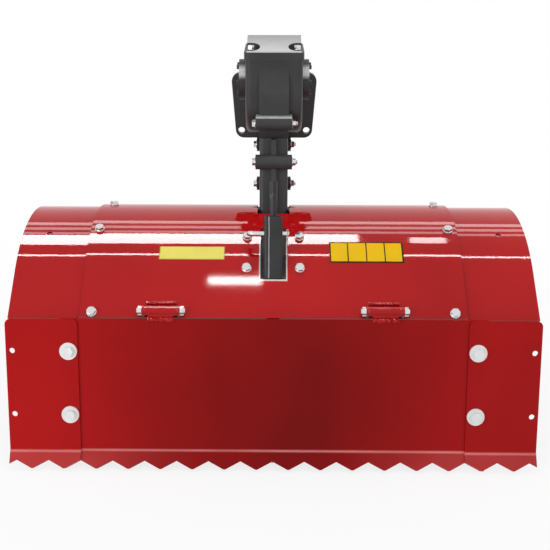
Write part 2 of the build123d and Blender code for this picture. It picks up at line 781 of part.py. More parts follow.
with BuildPart() as depth_pin:
    with BuildLine(Plane.XZ.offset(-pin_center.X)) as pin_route:
        FilletPolyline(
            (pin_right, pin_center.Y), (-pin_left, pin_center.Y),
            (-pin_left, pin_center.Y + pin_handle), radius=pin_bend,
        )
    with BuildSketch(Plane.YZ.offset(pin_right)):
        with Locations(pin_center):
            Circle(pin_radius)
    sweep(path=pin_route.wires()[0])
    chamfer(depth_pin.faces().sort_by(Axis.X)[-1].edges(), length=pin_edge)
depth_pin.part.label = "depth_pin"
export_step(depth_pin.part, "parts/depth_pin.step")

with BuildPart() as depth_spur:
    with BuildSketch(spur_plane.offset(spur_top)):
        Rectangle(spur_size, spur_size)
    extrude(amount=-(spur_top + 2 * spur_cross_z))
    split(bisect_by=Plane.XY.offset(shoe_thick), keep=Keep.TOP)
    with BuildSketch(Plane.YZ.offset(-spur_size)):
        with Locations(pin_center + ahead(90 - spur_angle, (spur_lower - spur_raise) / 2)):
            SlotCenterToCenter(
                spur_lower + spur_raise, 2 * pin_radius + 2 * sleeve_gap, rotation=spur_angle
            )
    extrude(amount=2 * spur_size, mode=Mode.SUBTRACT)
    with BuildSketch(spur_plane.offset(spur_top)):
        Circle(rod_radius)
    extrude(amount=rod_top - spur_top)
depth_spur.part.label = "depth_spur"
export_step(depth_spur.part, "parts/depth_spur.step")

with BuildPart() as spur_shoe:
    with BuildSketch(Plane.YZ.offset(-shoe_half)):
        with BuildLine():
            Polyline(
                (spur_foot_y - shoe_rear, 0), (spur_foot_y + shoe_front, 0),
                (spur_foot_y + shoe_front + toe_run, toe_rise),
                (spur_foot_y + shoe_front + toe_run - shoe_thick / 2, toe_rise + shoe_thick),
                (spur_foot_y + shoe_front - shoe_thick / 2, shoe_thick),
                (spur_foot_y - shoe_rear, shoe_thick), close=True,
            )
        make_face()
    extrude(amount=2 * shoe_half)
spur_shoe.part.label = "spur_shoe"
export_step(spur_shoe.part, "parts/spur_shoe.step")

# ---- Bracket that holds the sleeve under the hood -----------------------------------------
saddle_half = 56
saddle_behind = 8              # beyond the sleeve's slot at its rear
saddle_ahead = 34              # and at its front
saddle_rear = spur_slot_rear - saddle_behind
saddle_front = spur_slot_front + saddle_ahead
gusset_sheet = 5
gusset_drop = 22

with BuildPart() as spur_saddle:
    with BuildSketch(Plane.YZ.offset(-saddle_half)):
        add(hood_section(hood_sheet, hood_sheet + bracket_sheet))
    extrude(amount=2 * saddle_half)
    with BuildSketch(Plane.XY):
        with Locations((0, (saddle_rear + saddle_front) / 2)):
            Rectangle(2 * saddle_half, saddle_front - saddle_rear)
    extrude(amount=2 * hood_radius, mode=Mode.INTERSECT)
    with BuildSketch(Plane.XY):
        with Locations((0, (spur_slot_rear + spur_slot_front) / 2)):
            Rectangle(2 * spur_slot_half, spur_slot_front - spur_slot_rear)
    extrude(amount=2 * hood_radius, mode=Mode.SUBTRACT)
    for side in (-1, 1):
        with BuildSketch(Plane.YZ.offset(side * sleeve_size / 2)):
            add(hood_section(hood_sheet, hood_sheet + gusset_drop))
            with Locations(((saddle_rear + saddle_front) / 2, 0)):
                Rectangle(saddle_front - saddle_rear, 4 * hood_radius, mode=Mode.INTERSECT)
        extrude(amount=side * gusset_sheet)
spur_saddle.part.label = "spur_saddle"
export_step(spur_saddle.part, "parts/spur_saddle.step")

# ---- Washers and bolts that hold the wing flaps -------------------------------------------
washer_radius = 14
washer_sheet = 2.5
bolt_hex_radius = 9
bolt_head = 6
bolt_nut = 9
bolt_spots = [(side * flap_bolt_x, -drop) for side in (-1, 1) for drop in flap_row_drops]

with BuildPart() as flap_bolts:
    bolt_face = flap_outer + lap_clearance + wing_sheet
    with BuildSketch(flap_plane.offset(bolt_face)):
        with Locations(*bolt_spots):
            Circle(washer_radius)
    extrude(amount=washer_sheet)
    with BuildSketch(flap_plane.offset(bolt_face + washer_sheet)):
        with Locations(*bolt_spots):
            RegularPolygon(radius=bolt_hex_radius, side_count=6)
    extrude(amount=bolt_head)
    with BuildSketch(flap_plane.offset(flap_inner - bolt_nut)):
        with Locations(*bolt_spots):
            Circle(flap_bolt_radius - running_gap)
    extrude(amount=bolt_face + bolt_nut - flap_inner)
    with BuildSketch(flap_plane.offset(flap_inner - bolt_nut)):
        with Locations(*bolt_spots):
            RegularPolygon(radius=bolt_hex_radius, side_count=6)
    extrude(amount=bolt_nut)
flap_bolts.part.label = "flap_bolts"
export_step(flap_bolts.part, "parts/flap_bolts.step")
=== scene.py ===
import json
import random
from math import atan2, cos, pi, radians, sin, tan

import bmesh
import bpy
from mathutils import Matrix, Vector
from mathutils.bvhtree import BVHTree


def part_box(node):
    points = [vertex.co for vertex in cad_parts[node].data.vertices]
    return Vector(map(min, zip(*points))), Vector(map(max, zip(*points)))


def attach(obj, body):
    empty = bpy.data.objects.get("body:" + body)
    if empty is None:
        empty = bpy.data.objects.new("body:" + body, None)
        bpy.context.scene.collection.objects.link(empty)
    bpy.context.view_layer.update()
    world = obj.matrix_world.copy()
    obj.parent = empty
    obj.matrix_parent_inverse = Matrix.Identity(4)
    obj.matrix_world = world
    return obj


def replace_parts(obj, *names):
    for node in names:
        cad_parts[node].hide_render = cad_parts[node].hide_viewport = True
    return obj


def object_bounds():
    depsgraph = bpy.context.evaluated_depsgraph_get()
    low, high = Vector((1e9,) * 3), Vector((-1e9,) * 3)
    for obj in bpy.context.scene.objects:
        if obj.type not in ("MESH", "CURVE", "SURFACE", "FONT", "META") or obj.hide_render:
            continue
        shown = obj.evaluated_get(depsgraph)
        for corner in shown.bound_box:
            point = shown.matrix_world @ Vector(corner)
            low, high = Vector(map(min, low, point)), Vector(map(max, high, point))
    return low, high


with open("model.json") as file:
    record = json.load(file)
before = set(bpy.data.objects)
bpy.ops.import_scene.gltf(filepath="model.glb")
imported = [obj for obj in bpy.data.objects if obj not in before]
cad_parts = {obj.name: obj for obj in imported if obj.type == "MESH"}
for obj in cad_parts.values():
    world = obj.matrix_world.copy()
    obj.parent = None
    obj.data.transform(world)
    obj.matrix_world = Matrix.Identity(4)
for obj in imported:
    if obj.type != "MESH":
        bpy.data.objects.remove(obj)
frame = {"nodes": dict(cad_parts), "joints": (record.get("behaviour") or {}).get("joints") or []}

cad_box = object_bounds()
scene = bpy.context.scene

# Studio
# A white sweep of floor under plain soft lamps, seen from behind the machine and a little
# above it, at the height of someone walking up to its flap.
CAMERA_PLACE = (0.0014, -1.4992, 0.8375)
CAMERA_DOWN = radians(21.4)
CAMERA_TURN = radians(0.73)
CAMERA_LENS = 59.2
CAMERA_SHIFT = (0.0213, -0.0107)
SKY_FILL = 0.45                # the white studio's light on the machine
FLOOR_SIZE = 30.0


class Link:
    """One output of a node, with Python's operators turned into Math nodes."""

    def __init__(self, tree, socket):
        self.tree, self.socket = tree, socket

    def _math(self, operation, *others):
        node = self.tree.nodes.new("ShaderNodeMath")
        node.operation = operation
        for place, value in enumerate(others):
            plug(self.tree, node.inputs[place], value)
        return Link(self.tree, node.outputs[0])

    def __add__(self, other):
        return self._math("ADD", self, other)

    def __radd__(self, other):
        return self._math("ADD", other, self)

    def __sub__(self, other):
        return self._math("SUBTRACT", self, other)

    def __rsub__(self, other):
        return self._math("SUBTRACT", other, self)

    def __mul__(self, other):
        return self._math("MULTIPLY", self, other)

    def __rmul__(self, other):
        return self._math("MULTIPLY", other, self)

    def __abs__(self):
        return self._math("ABSOLUTE", self)

    def __gt__(self, other):
        return self._math("GREATER_THAN", self, other)

    def __lt__(self, other):
        return self._math("LESS_THAN", self, other)


def plug(tree, socket, value):
    """Links a Link to a socket, or sets the socket to a plain value."""
    if isinstance(value, Link):
        tree.links.new(value.socket, socket)
    else:
        socket.default_value = value


class Finish:
    """A material and its node tree, with one method that makes any node."""

    def __init__(self, name):
        self.material = bpy.data.materials.new(name)
        self.material.use_nodes = True
        self.tree = self.material.node_tree
        self.shader = self.tree.nodes["Principled BSDF"]

    def node(self, kind, settings=None, output=0, **sockets):
        """Adds a node. Its settings come first, then sockets by name, or by number as i0, i1."""
        made = self.tree.nodes.new("ShaderNode" + kind)
        for name, value in (settings or {}).items():
            setattr(made, name, value)
        for name, value in sockets.items():
            key = int(name[1:]) if name[0] == "i" and name[1:].isdigit() else name.replace("_", " ")
            plug(self.tree, made.inputs[key], value)
        return Link(self.tree, made.outputs[output])

    def where(self):
        """The place on the piece, in metres, in the machine's own frame."""
        return self.node("TexCoord", output=3)

    def noise(self, scale, detail=3.0, roughness=0.5):
        return self.node(
            "TexNoise", Vector=self.where(), Scale=scale, Detail=detail, Roughness=roughness
        )

    def blend(self, share, one, other):
        """Colour one where share is 0 and colour other where it is 1."""
        return self.node("Mix", {"data_type": "RGBA"}, output=2, i0=share, i6=one, i7=other)

    def bump(self, height, distance, strength=1.0):
        return self.node("Bump", Height=height, Distance=distance, Strength=strength)

    def set(self, **sockets):
        for name, value in sockets.items():
            plug(self.tree, self.shader.inputs[name.replace("_", " ")], value)
        return self.material


def grey(value):
    return (value, value, value, 1)


camera = bpy.data.objects.new("camera", bpy.data.cameras.new("camera"))
camera.data.lens = CAMERA_LENS
camera.data.shift_x, camera.data.shift_y = CAMERA_SHIFT
camera.data.clip_end = 50
camera.location = CAMERA_PLACE
camera.rotation_euler = (pi / 2 - CAMERA_DOWN, 0, CAMERA_TURN)
scene.collection.objects.link(camera)
scene.camera = camera
scene.view_settings.view_transform = "Standard"

world = bpy.data.worlds.new("studio")
scene.world = world
world.use_nodes = True
sky = world.node_tree
back = sky.nodes["Background"]
back.inputs["Color"].default_value = (1, 1, 1, 1)
path = sky.nodes.new("ShaderNodeLightPath")
white = Link(sky, path.outputs["Is Camera Ray"]) + Link(sky, path.outputs["Is Glossy Ray"])
white = white + Link(sky, path.outputs["Is Transmission Ray"])
plug(sky, back.inputs["Strength"], SKY_FILL + white * (1 - SKY_FILL))

# Softboxes: name, place, what they face, width, height, watts. The strips hang over the
# machine and are seen only as shine, and only in its red enamel.
SOFTBOXES = (
    ("ceiling_strip", (-0.78, 0.70, 2.2), (-0.78, 0.1, 0.3), 2.22, 0.46, 122),
    ("ceiling_patch", (0.60, 0.66, 2.2), (0.60, 0.1, 0.3), 0.14, 0.26, 3.0),
    ("ceiling_slat_near", (0.0, 1.08, 2.2), (0.0, 0.1, 0.3), 3.0, 0.12, 7),
    ("ceiling_slat_middle", (0.0, 1.42, 2.2), (0.0, 0.1, 0.3), 3.0, 0.16, 9),
    ("ceiling_slat_far", (0.0, 1.90, 2.2), (0.0, 0.1, 0.3), 3.0, 0.22, 12),
    ("ceiling_line", (0.0, 0.02, 2.2), (0.0, -0.1, 0.3), 3.0, 0.06, 26),
    ("left_tube", (-0.147, -0.585, 2.2), (-0.147, -0.37, 1.2), 0.20, 0.026, 1.3),
    ("ceiling_softbox", (0.0, 0.2, 2.6), (0.0, 0.0, 0.3), 1.8, 1.2, 30),
    ("left_softbox", (-1.9, -1.9, 0.9), (0.0, 0.0, 0.2), 1.3, 1.0, 22),
    ("right_softbox", (2.1, -1.7, 1.3), (0.0, 0.0, 0.2), 1.0, 1.2, 12),
    ("tractor_side_softbox", (0.0, 2.6, 1.2), (0.0, 0.0, 0.3), 2.4, 1.0, 18),
)
ENAMELLED = (
    "hood_center", "hood_wing", "end_cheek", "hinge_barrel", "hinge_ears",
    "flap_center", "flap_wing",
)
painted = bpy.data.collections.new("enamelled")
for name, thing in frame["nodes"].items():
    if name.startswith(ENAMELLED):
        painted.objects.link(thing)
SHINE_ONLY = ("ceiling_strip", "ceiling_patch", "ceiling_slat", "ceiling_line", "left_tube")
for name, place, target, width, height, watts in SOFTBOXES:
    lamp = bpy.data.lights.new(name, "AREA")
    lamp.shape, lamp.size, lamp.size_y, lamp.energy = "RECTANGLE", width, height, watts
    holder = bpy.data.objects.new(name, lamp)
    holder.location = place
    holder.rotation_euler = (Vector(target) - Vector(place)).to_track_quat("-Z", "Y").to_euler()
    shine_only = name.startswith(SHINE_ONLY)
    holder.visible_diffuse = not shine_only
    holder.visible_glossy = shine_only or name == "left_softbox"
    scene.collection.objects.link(holder)
    if shine_only:
        holder.light_linking.receiver_collection = painted

floor_mesh = bmesh.new()
bmesh.ops.create_grid(floor_mesh, x_segments=1, y_segments=1, size=FLOOR_SIZE / 2)
floor_data = bpy.data.meshes.new("floor")
floor_mesh.to_mesh(floor_data)
floor_mesh.free()
floor = bpy.data.objects.new("floor", floor_data)
floor.location.z = cad_box[0].z - 0.0005
scene.collection.objects.link(floor)
f = Finish("floor_white")
ray = f.tree.nodes.new("ShaderNodeLightPath")
white = Link(f.tree, ray.outputs["Is Camera Ray"]) + Link(f.tree, ray.outputs["Is Glossy Ray"])
white = white + Link(f.tree, ray.outputs["Is Transmission Ray"])
far = f.node("VectorMath", {"operation": "LENGTH"}, output=1, i0=f.where())
glow = f.node("Emission", Strength=1.0)
floor_mix = f.node(
    "MixShader", i0=white * f.node("MapRange", Value=far, i1=0.3, i2=1.2, i3=0.80, i4=1.0)
)
f.tree.links.new(f.shader.outputs[0], floor_mix.socket.node.inputs[1])
f.tree.links.new(glow.socket, floor_mix.socket.node.inputs[2])
f.tree.links.new(floor_mix.socket, f.tree.nodes["Material Output"].inputs["Surface"])
floor.data.materials.append(f.set(Base_Color=grey(0.82), Roughness=0.7))

# Red panels
# The hood, its wings, the cheeks and the flap are folded steel sheet in gloss red stoving
# enamel. The hood is clean and bright, and the flap is a deeper red, painted darker along its
# middle as shade, with a painted highlight along its fold and mottled painted sheen on its
# toothed foot towards its ends.
HOOD_RED = (0.430, 0.006, 0.007, 1)
HOOD_SHADE = (0.290, 0.001, 0.002, 1)
FLAP_RED = (0.440, 0.004, 0.005, 1)
FLAP_SHADE = (0.185, 0.000, 0.000, 1)
# Paler red for the flap's painted highlight along its fold and painted sheen on its foot.
SHEEN_RED = (0.720, 0.230, 0.220, 1)


def red_enamel(name, light, dark, shine, middle=None, highlit_fold=None, slot_edge=None, lap=None):
    """Gloss red paint. It can be painted darker along the middle as shade, given a painted
    highlight along a line and painted sheen below it, given a pale band round a slot (its rear end,
    front end and half width), which is the bare cut edge brightened as a painted highlight, or
    given a painted shadow line along a lap."""
    f = Finish(name)
    cloud = f.noise(3.2, 2.0)
    speck = f.noise(900, 2.0)
    orange_peel = f.noise(240, 2.0)
    across = abs(f.node("SeparateXYZ", output=0, Vector=f.where()))
    along = f.node("SeparateXYZ", output=1, Vector=f.where())
    height = f.node("SeparateXYZ", output=2, Vector=f.where())
    shade = f.node("MapRange", Value=cloud, i1=0.35, i2=0.65, i3=0.0, i4=0.6)
    # Along the middle the flap is painted darker as shade, and its ends lighter.
    if middle is not None:
        shade = shade * 0.5 + f.node(
            "MapRange", Value=across, i1=middle[0], i2=middle[1], i3=0.7, i4=0.0
        )
    colour = f.blend(shade, light, dark)
    # A painted highlight along the fold line, and painted sheen on the foot below it towards its
    # ends, mottled by noise.
    if highlit_fold is not None:
        near = f.node(
            "MapRange", Value=abs(height - highlit_fold), i1=0.0004, i2=0.0024, i3=1.0, i4=0.0
        )
        foot = (height < highlit_fold) * f.node(
            "MapRange", Value=across, i1=0.12, i2=0.34, i3=0.0, i4=0.3
        )
        mottle = f.noise(9, 3.0)
        colour = f.blend(near * (0.2 + mottle) + foot * mottle, colour, SHEEN_RED)
    # A pale band round the slot: the bare cut edge, brightened as a painted highlight of it
    # catching the light.
    if slot_edge is not None:
        rear, front, half = slot_edge
        beside = (across > half - 0.0004) * (across < half + CUT_EDGE) * (along < front)
        behind = (along < rear + 0.0004) * (across < half + CUT_EDGE)
        cut = beside + behind * (1 - beside)
        cut = cut * (along > rear - CUT_EDGE)
        colour = f.blend(cut * (0.72 + f.noise(160) * 0.4), colour, BARE_EDGE_GLINT)
    # A painted shadow line along the lap, beside the edge of the sheet lapped over it.
    if lap is not None:
        painted_line = f.node("MapRange", Value=abs(across - lap), i1=0.0005, i2=0.0016, i3=0.85, i4=0.0)
        colour = f.blend(painted_line, colour, LAP_SHADOW)
    return f.set(
        Base_Color=colour,
        Roughness=0.025 + speck * 0.03,
        Specular_IOR_Level=shine,
        Normal=f.bump(orange_peel, 0.0002, 0.05),
    )


def dress(material, *starts):
    """Gives a material to every CAD node whose name begins with one of these."""
    for node, thing in frame["nodes"].items():
        if node.startswith(starts):
            thing.data.materials.clear()
            thing.data.materials.append(material)


CUT_EDGE = 0.0023              # width of bare metal round the sleeve's slot
# Colour of the pale band round the slot: bare cut edge brightened as a painted highlight.
BARE_EDGE_GLINT = (0.66, 0.62, 0.61, 1)
# Colour of the painted shadow line along the wing's lap.
LAP_SHADOW = (0.060, 0.004, 0.004, 1)
SLEEVE_SLOT = (-0.1354, -0.070, 0.021)
FOLD_RISE = 0.0265             # the flap's fold, above its teeth
flap_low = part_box("flap_center")[0]
middle_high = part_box("hood_center")[1]
panel_red = red_enamel("hood_red", HOOD_RED, HOOD_SHADE, 0.20)
dress(red_enamel(
    "hood_middle_red", HOOD_RED, HOOD_SHADE, 0.20, slot_edge=SLEEVE_SLOT
), "hood_center")
dress(red_enamel(
    "hood_wing_red", HOOD_RED, HOOD_SHADE, 0.20, lap=middle_high.x + 0.0004
), "hood_wing")
dress(panel_red, "end_cheek", "hinge_barrel", "hinge_ears")
dress(red_enamel(
    "flap_red", FLAP_RED, FLAP_SHADE, 0.11, middle=(0.08, 0.34), highlit_fold=flap_low.z + FOLD_RISE
), "flap_center", "flap_wing")

# Black castings
# The gear case, the gearbox and the coupling flange are sand-cast alloy in satin black paint,
# with a fine pebbled skin. On the gearbox, bright painted highlights lie high on the rims of the
# round covers at its ends, along the top of the boss at its foot, and along the step above it.
CAST_BLACK = (0.018, 0.018, 0.019, 1)
CAST_GREY = (0.064, 0.064, 0.066, 1)
COVER_GLINT = (0.571, 0.590)     # heights between which the covers' rims are bright
BOSS_PLACE = (0.0666, 0.498)
BOSS_RADIUS = 0.013
f = Finish("black_casting")
sand = f.noise(420, 4.0, 0.6)
patch = f.noise(14, 3.0)
across = abs(f.node("SeparateXYZ", output=0, Vector=f.where()))
along = f.node("SeparateXYZ", output=1, Vector=f.where())
height = f.node("SeparateXYZ", output=2, Vector=f.where())
# Painted highlights: a bright band high on the covers' rims, a line along the top of the foot's
# boss and a fainter one along the step above it, mottled by noise.
cover = (across > 0.0505) * (across < 0.0618) * f.node(
    "MapRange", {"interpolation_type": "SMOOTHSTEP"}, Value=abs(height - sum(COVER_GLINT) / 2),
    i1=0.003, i2=(COVER_GLINT[1] - COVER_GLINT[0]) / 2 + 0.004, i3=1.0, i4=0.0,
)
boss = (along < BOSS_PLACE[0] + BOSS_RADIUS) * (across < 0.0318) * f.node(
    "MapRange", Value=abs(height - BOSS_PLACE[1] - 0.0115), i1=0.0008, i2=0.0022, i3=1.0, i4=0.0,
)
step = (along < BOSS_PLACE[0]) * (across < 0.0265) * f.node(
    "MapRange", Value=abs(height - BOSS_PLACE[1] - 0.0185), i1=0.0006, i2=0.0018, i3=0.8, i4=0.0,
)
painted_glint = cover + (boss + step) * (0.6 + f.noise(60) * 0.5)
dress(f.set(
    Base_Color=f.blend(painted_glint, f.blend(patch, CAST_BLACK, CAST_GREY), grey(0.62)),
    Metallic=painted_glint * 0.5,
    Specular_IOR_Level=0.3,
    Roughness=0.34 + patch * 0.22,
    Normal=f.bump(sand, 0.0010, 0.45),
), "gearbox_casting")

f = Finish("black_case")
sand = f.noise(420, 4.0, 0.6)
patch = f.noise(14, 3.0)
black_case = f.set(
    Base_Color=f.blend(patch, CAST_BLACK, CAST_GREY),
    Specular_IOR_Level=0.3,
    Roughness=0.28 + patch * 0.22,
    Normal=f.bump(sand, 0.0010, 0.45),
)
dress(black_case, "gear_case", "coupling_flange")

# Top cap
# The cap is an alloy casting, painted black with the gearbox. Its ridged top is then milled
# bright, in fine lines across it, painted lighter towards its lower edge and darker at the ridge
# as painted sheen, and the two bolt pockets, below the cutter, are painted near-black as their
# shade.
POCKET_RADIUS = 0.0152
POCKET_END = 0.0395            # from the middle to where each pocket's round end is centred
POCKET_IN = 0.015              # from the cap's rear edge to that centre
POCKET_FLOOR = 0.003
f = Finish("machined_alloy")
milled = f.node("Mapping", Vector=f.where(), Scale=(3, 260, 260))
lines = f.node("TexNoise", Vector=milled, Scale=6.0)
stain = f.noise(26, 3.0)
cap_low, cap_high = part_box("top_cap")
pocket_floor = cap_low.z + POCKET_FLOOR
across, along, up = (f.node("SeparateXYZ", output=n, Vector=f.where()) for n in range(3))
inward = POCKET_END - abs(across)
inward = inward * (inward > 0)
aside = along - (cap_low.y + POCKET_IN)
# The pockets' floors and walls are painted near-black, as the shade in these recesses.
pocket_shade = (inward * inward + aside * aside < POCKET_RADIUS ** 2) * (up > pocket_floor - 0.0002)
# Painted sheen: the milled top is lighter towards its lower edge and darker at the ridge.
ridge = f.node(
    "MapRange", Value=up,
    i1=cap_low.z + 0.004, i2=cap_high.z, i3=1.0, i4=0.0,
)
dress(f.set(
    Base_Color=f.blend(
        pocket_shade, f.blend(ridge * 0.75 + stain * 0.25, grey(0.38), grey(0.68)), grey(0.03)
    ),
    Metallic=0.9 - pocket_shade * 0.9,
    Roughness=0.55 + lines * 0.14,
    Normal=f.bump(lines, 0.0002, 0.3),
), "top_cap")

# Zinc plate
# Bolts, washers, hinge pins and the depth pin are steel in bright zinc, faintly mottled.
f = Finish("zinc_plate")
tint = f.noise(80, 2.0)
zinc_plate = f.set(
    Base_Color=f.blend(tint, (0.60, 0.61, 0.63, 1), (0.76, 0.76, 0.75, 1)),
    Metallic=1.0,
    Roughness=0.16 + tint * 0.14,
)
dress(zinc_plate, "hinge_pin")

# Flap bolts
# The bolts that hold the wing flaps have wide, pale washers of thick passivated zinc.
f = Finish("pale_zinc")
tint = f.noise(60, 3.0)
dress(f.set(
    Base_Color=f.blend(tint, grey(0.66), grey(0.86)),
    Metallic=0.45,
    Roughness=0.30 + tint * 0.2,
    Normal=f.bump(f.noise(500, 2.0), 0.0001, 0.3),
), "flap_bolts")

# Black paint
# The depth spur and its sleeve, the brackets under the hood, the bearing covers and the
# rotor's hubs are steel in satin black, with grey showing through at random rubs.
f = Finish("black_paint")
wear = f.noise(30, 4.0)
scuff = f.node("MapRange", Value=f.noise(120, 3.0, 0.6), i1=0.62, i2=0.72)
black_paint = f.set(
    Base_Color=f.blend(
        scuff * 0.35, f.blend(wear, (0.014, 0.014, 0.016, 1), (0.036, 0.036, 0.040, 1)), grey(0.22)
    ),
    Specular_IOR_Level=0.3,
    Roughness=0.30 + wear * 0.18,
    Normal=f.bump(f.noise(300, 3.0), 0.0003, 0.3),
)
dress(
    black_paint, "depth_sleeve", "depth_spur", "spur_", "bearing_cover", "rotor_hub", "hood_bracket"
)

# Bare steel
# The rotor's shaft and the splined input shaft are turned steel under a film of oil, with
# rings from the tool around them.
f = Finish("bare_steel")
film = f.noise(50, 2.0)
turned = f.node("Mapping", Vector=f.where(), Scale=(400, 3, 3))
rings = f.node("TexNoise", Vector=turned, Scale=3.0)
dress(f.set(
    Base_Color=f.blend(film, grey(0.34), grey(0.52)),
    Metallic=1.0,
    Roughness=0.22 + film * 0.16,
    Normal=f.bump(rings, 0.0001, 0.3),
), "rotor_shaft", "input_shaft")

# Tines
# Each tine is forged spring steel, dipped in black and still unused, with mill scale under
# the paint and its ground cutting edges thinly covered.
rotor_axis = next(joint["pos_m"] for joint in frame["joints"] if joint["name"] == "rotor_spin")
f = Finish("tine_steel")
scale = f.noise(25, 4.0)
pits = f.noise(260, 3.0)
out_of_axis = f.node("VectorMath", {"operation": "LENGTH"}, output=1, i0=f.node(
    "Mapping", Vector=f.where(), Scale=(0, 1, 1), Location=-Vector(rotor_axis)
))
edge = f.node("MapRange", Value=out_of_axis, i1=0.140, i2=0.162, i3=0.0, i4=0.5)
dress(f.set(
    Base_Color=f.blend(edge * scale, f.blend(scale, grey(0.024), grey(0.070)), grey(0.34)),
    Metallic=0.25,
    Roughness=0.36 + scale * 0.2,
    Normal=f.bump(pits, 0.0004, 0.4),
), "tines_")

# Hood bolts
# Zinc-plated hexagon bolts join the hood's sheets: four hold the depth spur's saddle under
# the hood, and three a side clamp each wing under the middle panel. Each has a plain washer
# on the red sheet and a nut underneath.
BOLT_FLATS = 0.013
BOLT_SHANK = 0.004             # half its thickness
HEAD_HEIGHT = 0.0056
NUT_HEIGHT = 0.0065
WASHER_SHEET = 0.0016
SADDLE_BOLTS = [(side * 0.0435, y) for side in (-1, 1) for y in (-0.065, -0.120)]
WING_BOLTS = [
    (side * x, y) for side in (-1, 1)
    for x, y in ((0.290, -0.1815), (0.295, -0.046), (0.288, 0.066))
]
SADDLE_GRIP = 0.0085           # sheets between the washer and the nut
WING_GRIP = 0.0065


def add_round(shape, low, high, radius, edge=0.0005, sides=28):
    """Adds a disc or rod along Z, its rims rounded."""
    made = bmesh.ops.create_cone(
        shape, cap_ends=True, segments=sides, radius1=radius, radius2=radius, depth=high - low,
        matrix=Matrix.Translation((0, 0, (low + high) / 2)),
    )
    rims = {
        e for v in made["verts"] for e in v.link_edges
        if abs(e.verts[0].co.z - e.verts[1].co.z) < 1e-7
    }
    bmesh.ops.bevel(
        shape, geom=list(rims), offset=edge, segments=2, profile=0.5, material=-1, affect="EDGES"
    )


def add_hexagon(shape, low, height, flats, sign=1):
    """Adds a head or nut, with the round chamfer that is turned across its six corners."""
    flat = 0.95 * flats / 2
    ring = bmesh.ops.create_circle(shape, cap_ends=True, segments=36, radius=flats / 2)["verts"]
    for vert in ring:
        vert.co.xy /= cos(atan2(vert.co.y, vert.co.x) % (pi / 3) - pi / 6)
        vert.co.z = low
    edges = list({e for v in ring for e in v.link_edges})
    walls = bmesh.ops.extrude_edge_only(shape, edges=edges)["geom"]
    upper = [v for v in walls if isinstance(v, bmesh.types.BMVert)]
    for vert in upper:
        vert.co.z = low + sign * (height - (vert.co.xy.length - flat) * tan(radians(30)))
    edges = [e for e in walls if isinstance(e, bmesh.types.BMEdge) and set(e.verts) <= set(upper)]
    crown = bmesh.ops.extrude_edge_only(shape, edges=edges)["geom"]
    upper = [v for v in crown if isinstance(v, bmesh.types.BMVert)]
    for vert in upper:
        vert.co.xy *= flat / vert.co.xy.length
        vert.co.z = low + sign * height
    edges = [e for e in crown if isinstance(e, bmesh.types.BMEdge) and set(e.verts) <= set(upper)]
    bmesh.ops.holes_fill(shape, edges=edges)


def add_turned(shape, outline, steps=28):
    """Adds a turned shape: an outline of radii and heights, spun about Z."""
    verts = [shape.verts.new((radius, 0, z)) for radius, z in outline]
    edges = [shape.edges.new(pair) for pair in zip(verts, verts[1:])]
    bmesh.ops.spin(
        shape, geom=verts + edges, cent=(0, 0, 0), axis=(0, 0, 1), angle=2 * pi, steps=steps,
        use_merge=True,
    )


def add_thread(shape, start, end, radius, pitch=0.00125):
    """Adds a screw's end between two heights: grooved, and chamfered at its tip."""
    turns = max(2, round(abs(end - start) / pitch))
    step = (end - start) / turns
    outline = [(1e-5, start)]
    for turn in range(turns):
        outline.append((radius * 0.86, start + step * turn))
        outline.append((radius, start + step * (turn + 0.5)))
    outline += [(radius * 0.8, end), (1e-5, end)]
    add_turned(shape, outline, 20)


def bolt_shape(grip, flats=BOLT_FLATS, shank=BOLT_SHANK, washer=None):
    """A washer and head standing on Z = 0, and a washer, nut and thread end below the sheets."""
    scale = flats / BOLT_FLATS
    washer = washer or flats * 0.63
    shape = bmesh.new()
    add_round(shape, 0, WASHER_SHEET, washer)
    add_hexagon(shape, WASHER_SHEET, HEAD_HEIGHT * scale, flats)
    add_round(shape, -grip - WASHER_SHEET, -grip, washer)
    add_hexagon(shape, -grip - WASHER_SHEET, NUT_HEIGHT * scale, flats, sign=-1)
    nut_end = -grip - WASHER_SHEET - NUT_HEIGHT * scale
    add_thread(shape, nut_end + 0.001, nut_end - 0.003, shank)
    return shape


def stand(spot, outward, turn=0.0):
    """The transform that stands a shape on a spot with its Z pointing outwards."""
    lean = Vector(outward).to_track_quat("Z", "Y").to_matrix().to_4x4()
    return Matrix.Translation(spot) @ lean @ Matrix.Rotation(turn, 4, "Z")


def stamped(shape, places):
    """One mesh with a copy of a shape at each place."""
    pattern = bpy.data.meshes.new("pattern")
    shape.to_mesh(pattern)
    shape.free()
    many = bmesh.new()
    for place in places:
        before = len(many.verts)
        many.from_mesh(pattern)
        many.verts.ensure_lookup_table()
        bmesh.ops.transform(many, matrix=place, verts=many.verts[before:])
    bpy.data.meshes.remove(pattern)
    return many


def keep(shape, name, material, body, sharp=32):
    """Turns a mesh into a piece of the machine that rides on one of its bodies."""
    bmesh.ops.remove_doubles(shape, verts=shape.verts, dist=2e-6)
    bmesh.ops.recalc_face_normals(shape, faces=shape.faces)
    data = bpy.data.meshes.new(name)
    shape.to_mesh(data)
    shape.free()
    data.shade_smooth()
    data.set_sharp_from_angle(angle=radians(sharp))
    data.materials.append(material)
    piece = bpy.data.objects.new(name, data)
    scene.collection.objects.link(piece)
    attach(piece, body)
    return piece


def sheet_tree(*nodes):
    """Finds places on some CAD nodes."""
    verts, faces = [], []
    for node in nodes:
        mesh = frame["nodes"][node].data
        faces += [[len(verts) + v for v in face.vertices] for face in mesh.polygons]
        verts += [v.co.copy() for v in mesh.vertices]
    return BVHTree.FromPolygons(verts, faces)


hood = sheet_tree("hood_center", "hood_wing_left", "hood_wing_right")


